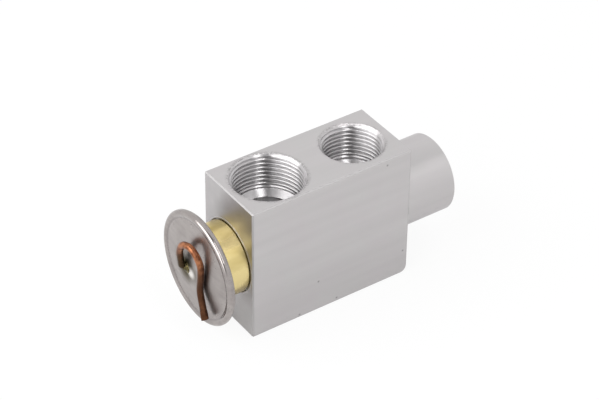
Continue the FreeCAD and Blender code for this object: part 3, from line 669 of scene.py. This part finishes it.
def plainWall(nominal, port, threadEnd, firstDepth, lastDepth):
    # depths and radii of the stations below the thread, round the passage's edge and up the lining's back
    cut = portCut
    drilled, passage, lined = port
    gap, cover, corner = cut["wallGap"], cut["wallCover"], cut["corner"]
    wall = nominal - cut["depthShare"] * cut["pitch"] - gap
    rise = 1 / math.tan(math.radians(cut["drillAngle"]))
    floor = drilled - gap
    edge = passage - gap if lined else passage
    edgeDepth = floor + (wall - edge) * rise
    stations = [
        (lastDepth + 0.03, wall), (floor, wall), (floor + corner * rise, wall - corner),
        (edgeDepth - corner * rise, edge + corner), (edgeDepth, edge),
    ]
    if lined:
        stations += [(edgeDepth + corner, edge), (edgeDepth + lined, edge), (edgeDepth + lined, edge + cover)]
    stations += [
        (edgeDepth + cover, edge + cover), (floor + cover, wall + cover),
        (lastDepth + 2 * cover, wall + cover), (threadEnd - cover, nominal + cover),
        (firstDepth + cover, nominal + cover),
    ]
    return np.array(stations).T


def portLining(mountName):
    # the port's wall as a closed ring
    mount = mounts[mountName]
    nominal = mount["dims"]["r_mm"]
    bevel, *port = portCut["ports"][mountName]
    threadEnd = bevel + mount["dims"]["length_mm"]
    depth, radius, grooveShade = threadedWall(nominal, bevel, threadEnd)
    plainDepth, plainRadius = plainWall(nominal, port, threadEnd, depth[0], depth[-1])
    columns = portCut["columns"]
    depths = np.concatenate([depth, plainDepth])
    radii = np.concatenate([radius, np.repeat(plainRadius[:, None], columns, axis=1)])
    grooveShade = np.concatenate([grooveShade, np.zeros((plainDepth.size, columns))])
    angle = np.linspace(0, 2 * math.pi, columns, endpoint=False)[None, :]
    outward = mount["axis"][2]
    face = blockHigh.z if outward > 0 else blockLow.z
    x = mount["pos_m"][0] / mm + radii * np.cos(angle)
    y = radii * np.sin(angle) * outward
    z = np.broadcast_to(face - outward * depths[:, None], radii.shape)
    piece = gridMesh(mountName + "_lining", np.stack([x, y, z], axis=-1), cutWalls, grooveShade=grooveShade)
    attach(piece, "housing")


for mountName in portCut["ports"]:
    portLining(mountName)
print("ports lined")


# Small joints and lips of the power head

def turnedRing(name, heights, radii, material):
    # a closed ring about the valve axis; heights in front of the block's end and radii are rows x columns
    angle = np.linspace(0, 2 * math.pi, radii.shape[1], endpoint=False)[None, :]
    x = np.broadcast_to(blockLow.x - heights, radii.shape)
    points = np.stack([x, radii * np.cos(angle), axisHeight + radii * np.sin(angle)], axis=-1)
    piece = gridMesh(name, points, material)
    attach(piece, "housing")
    return piece


weld = {
    "height": 10.62,        # mm in front of the block's end
    "radius": 18.42,        # mm
    "halfSize": (0.62, 0.52),     # mm along the axis and outwards
    "rippleCount": 150,
    "rippleDepth": 0.05,    # mm
    "chevron": 1.2,         # how far each ripple trails behind at the bead's edges, in radians
}


def weldBead():
    # an ellipse swept round the rim, whose outer half dips at each ripple of the weld pool
    turn = np.linspace(0, 2 * math.pi, 20, endpoint=False)[:, None]
    angle = np.linspace(0, 2 * math.pi, 1200, endpoint=False)[None, :]
    wave = weld["rippleCount"] * angle + weld["chevron"] * np.cos(turn) ** 2
    dip = weld["rippleDepth"] * (0.5 - 0.5 * np.cos(wave)) * np.clip(np.sin(turn), 0, 1)
    high, out = weld["halfSize"]
    heights = weld["height"] + high * np.cos(turn)
    radii = weld["radius"] + out * np.sin(turn) - dip
    piece = turnedRing("rim_weld", heights, radii, stainless)


lip = {"radius": 12.43, "halfWidth": 0.34, "rise": 0.13, "unevenness": 0.03}   # mm


def spotFaceLip():
    # the thin burr that the spot facer turns up and in round the collar's seat
    turn = np.linspace(0, 2 * math.pi, 16, endpoint=False)[:, None]
    angle = np.linspace(0, 2 * math.pi, 360, endpoint=False)[None, :]
    uneven = lip["unevenness"] * (np.sin(7 * angle) + np.sin(17 * angle + 1)) / 2
    heights = lip["rise"] * np.sin(turn) * (1 + np.sign(np.sin(turn)) * uneven / lip["rise"])
    radii = lip["radius"] - lip["halfWidth"] * np.cos(turn) + 0 * angle
    piece = turnedRing("spot_face_lip", heights, radii, aluminium)


meniscus = {
    "tube": 1.1,            # mm
    "foot": 2.5,            # mm, mean radius on the cover
    "rise": 1.15,           # mm up the tube
    "sunk": 0.3,            # mm that the closing ring lies under the crown and inside the foot
    "lobes": [(2, 0.28, 0.7), (3, 0.2, 2.1), (5, 0.09, 4.0)],   # count, size in mm and turn in radians
    "crownRadius": 122.8,   # mm, radius of the cover's shallow crown
}


def brazeMeniscus():
    # frozen filler, concave from the tube down to an uneven foot, by tube + (foot - tube) * (1 - share) ** 2;
    # it stands on the crown, whose height falls by distance from the axis squared over twice its radius
    look = meniscus
    share = np.linspace(0, 1, 14)[:, None]
    angle = np.linspace(0, 2 * math.pi, 72, endpoint=False)[None, :]
    lobes = sum(size * np.sin(count * angle + start) for count, size, start in look["lobes"])
    foot = look["foot"] + lobes
    climb = look["rise"] * (1 + 0.25 * np.sin(2 * angle + 1))
    radius = look["tube"] + 0.02 + (foot - look["tube"]) * (1 - share) ** 2
    height = -0.06 + (climb + 0.06) * share
    inner = np.full((1, angle.size), look["tube"] - 0.12)
    below = np.full_like(inner, -look["sunk"])
    radius = np.concatenate([radius, inner, inner, foot - look["sunk"]])
    height = np.concatenate([height, climb - 0.1, below, below])
    y = brazeFoot.y + radius * np.cos(angle)
    up = brazeFoot.z + radius * np.sin(angle)
    crown = (y ** 2 + up ** 2) / (2 * look["crownRadius"])
    x = coverLow.x + crown - height
    piece = gridMesh("braze_meniscus", np.stack([x, y, axisHeight + up], axis=-1)[::-1], braze)
    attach(piece, "housing")
    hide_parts("braze_fillet")


weldBead()
spotFaceLip()
brazeMeniscus()
print("head dressed")


# Floor, world, lamps and camera

studio = {
    "floorSize": 6.0,          # m, as are the lamps' sizes and distance
    "floorColour": "#E0E0E0",
    "whiteToEye": 0.9,         # how much of the floor is plain white to the eye
    "whiteToGloss": 0.4,       # and in reflections, which show more of its shading
    "backdrop": "#FFFFFF",
    "backdropStrength": 1.06,
    "darkSide": "#888888",     # the room behind and above the camera
    "darkAzimuth": 235,
    "darkAcross": (0.38, 0.46),   # sideways share of a direction, from wholly dark to faded
    "darkAlong": (0.0, -0.2),     # share towards the camera, likewise
    "darkAbove": (0.35, 0.15),    # share upwards, likewise
    "lampDistance": 1.2,
    "lamps": [
        {"name": "left_softbox", "azimuth": 181, "elevation": 34,
         "width": 1.85, "height": 1.1, "radiance": 2.8},
        {"name": "front_softbox", "azimuth": 269, "elevation": 55,
         "width": 0.24, "height": 0.95, "radiance": 5.0},
    ],
}


def direction(azimuth, elevation):
    azimuth, elevation = math.radians(azimuth), math.radians(elevation)
    level = math.cos(elevation)
    return Vector((math.cos(azimuth) * level, math.sin(azimuth) * level, math.sin(elevation)))


def makeFloor():
    half = studio["floorSize"] / 2
    rows = np.array([-half, half])
    grid = np.stack(np.meshgrid(rows, rows), axis=-1) / mm
    points = np.concatenate([grid, np.zeros((2, 2, 1))], axis=-1)
    material, tree = newMaterial("white_paper")
    paths = addNode(tree, "ShaderNodeLightPath")
    mirrored = addNode(tree, "ShaderNodeMath", {"operation": "MAXIMUM"},
                       {0: paths.outputs["Is Glossy Ray"], 1: paths.outputs["Is Transmission Ray"]})
    mirrored = addNode(tree, "ShaderNodeMath", {"operation": "MULTIPLY", 1: studio["whiteToGloss"]},
                       {0: mirrored.outputs[0]})
    share = addNode(tree, "ShaderNodeMath", {"operation": "MULTIPLY_ADD", 1: studio["whiteToEye"]},
                    {0: paths.outputs["Is Camera Ray"], 2: mirrored.outputs[0]})
    paper = addNode(tree, "ShaderNodeBsdfDiffuse", {"Color": toLinear(studio["floorColour"])})
    white = addNode(tree, "ShaderNodeEmission", {"Strength": 1.0})
    mixed = addNode(tree, "ShaderNodeMixShader", None,
                    {0: share.outputs[0], 1: paper.outputs[0], 2: white.outputs[0]})
    addNode(tree, "ShaderNodeOutputMaterial", None, {0: mixed.outputs[0]})
    floor = gridMesh("floor", points, material, closeRows=False, closeColumns=False)


def makeWorld():
    # a white room with a dark strip that runs from behind the camera to overhead
    world = bpy.data.worlds.new("studio")
    world.use_nodes = True
    tree = world.node_tree
    tree.nodes.clear()
    towards = addNode(tree, "ShaderNodeTexCoord").outputs["Generated"]
    along = direction(studio["darkAzimuth"], 0)
    axes = {
        "darkAcross": Vector((-along.y, along.x, 0)),
        "darkAlong": along,
        "darkAbove": Vector((0, 0, 1)),
    }
    dark = None
    for key, axis in axes.items():
        share = addNode(tree, "ShaderNodeVectorMath", {"operation": "DOT_PRODUCT", 1: axis}, {0: towards})
        share = share.outputs["Value"]
        if key == "darkAcross":
            share = addNode(tree, "ShaderNodeMath", {"operation": "ABSOLUTE"}, {0: share}).outputs[0]
        full, gone = studio[key]
        inside = addNode(tree, "ShaderNodeMapRange", {"From Min": gone, "From Max": full,
                         "interpolation_type": "SMOOTHSTEP"}, {"Value": share}).outputs[0]
        if dark:
            inside = addNode(tree, "ShaderNodeMath", {"operation": "MULTIPLY"}, {0: dark, 1: inside})
            inside = inside.outputs[0]
        dark = inside
    tone = addNode(tree, "ShaderNodeMix", {"data_type": "RGBA", 6: toLinear(studio["backdrop"]),
                   7: toLinear(studio["darkSide"])}, {0: dark})
    light = addNode(tree, "ShaderNodeBackground", {"Strength": studio["backdropStrength"]},
                    {"Color": tone.outputs[2]})
    addNode(tree, "ShaderNodeOutputWorld", None, {0: light.outputs[0]})
    bpy.context.scene.world = world


def makeLamp(lamp):
    # a softbox that faces the part; its power is radiance x pi x area
    data = bpy.data.lights.new(lamp["name"], "AREA")
    data.shape = "RECTANGLE"
    data.size = lamp["width"]
    data.size_y = lamp["height"]
    data.energy = lamp["radiance"] * math.pi * lamp["width"] * lamp["height"]
    outward = direction(lamp["azimuth"], lamp["elevation"])
    holder = bpy.data.objects.new(lamp["name"], data)
    holder.location = outward * studio["lampDistance"]
    holder.rotation_euler = outward.to_track_quat("Z", "Y").to_euler()
    bpy.context.scene.collection.objects.link(holder)


photoView = {
    "place": (-332.429, -470.993, 476.338),   # mm
    "azimuth": -34.943,     # degrees, 0 looks along +Y
    "elevation": 37.584,
    "roll": 0.678,
    "lens": 141.10,         # mm
    "sensor": 36.0,         # mm wide
}


def makeCamera():
    look = photoView
    azimuth, elevation, roll = (math.radians(look[key]) for key in ("azimuth", "elevation", "roll"))
    near = math.cos(elevation)
    back = Vector((math.sin(azimuth) * near, -math.cos(azimuth) * near, math.sin(elevation)))
    level = Vector((math.cos(azimuth), math.sin(azimuth), 0))
    upright = back.cross(level)
    right = level * math.cos(roll) + upright * math.sin(roll)
    up = back.cross(right)
    data = bpy.data.cameras.new("photo_view")
    data.sensor_width = look["sensor"]
    data.lens = look["lens"]
    data.clip_start, data.clip_end = 0.01, 50.0
    camera = bpy.data.objects.new("photo_view", data)
    turn = Matrix((right, up, back)).transposed().to_4x4()
    camera.matrix_world = Matrix.Translation(Vector(look["place"]) * mm) @ turn
    bpy.context.scene.collection.objects.link(camera)
    bpy.context.scene.camera = camera


makeFloor()
makeWorld()
for lamp in studio["lamps"]:
    makeLamp(lamp)
makeCamera()
bpy.context.scene.view_settings.view_transform = "Standard"
print("stage lit")
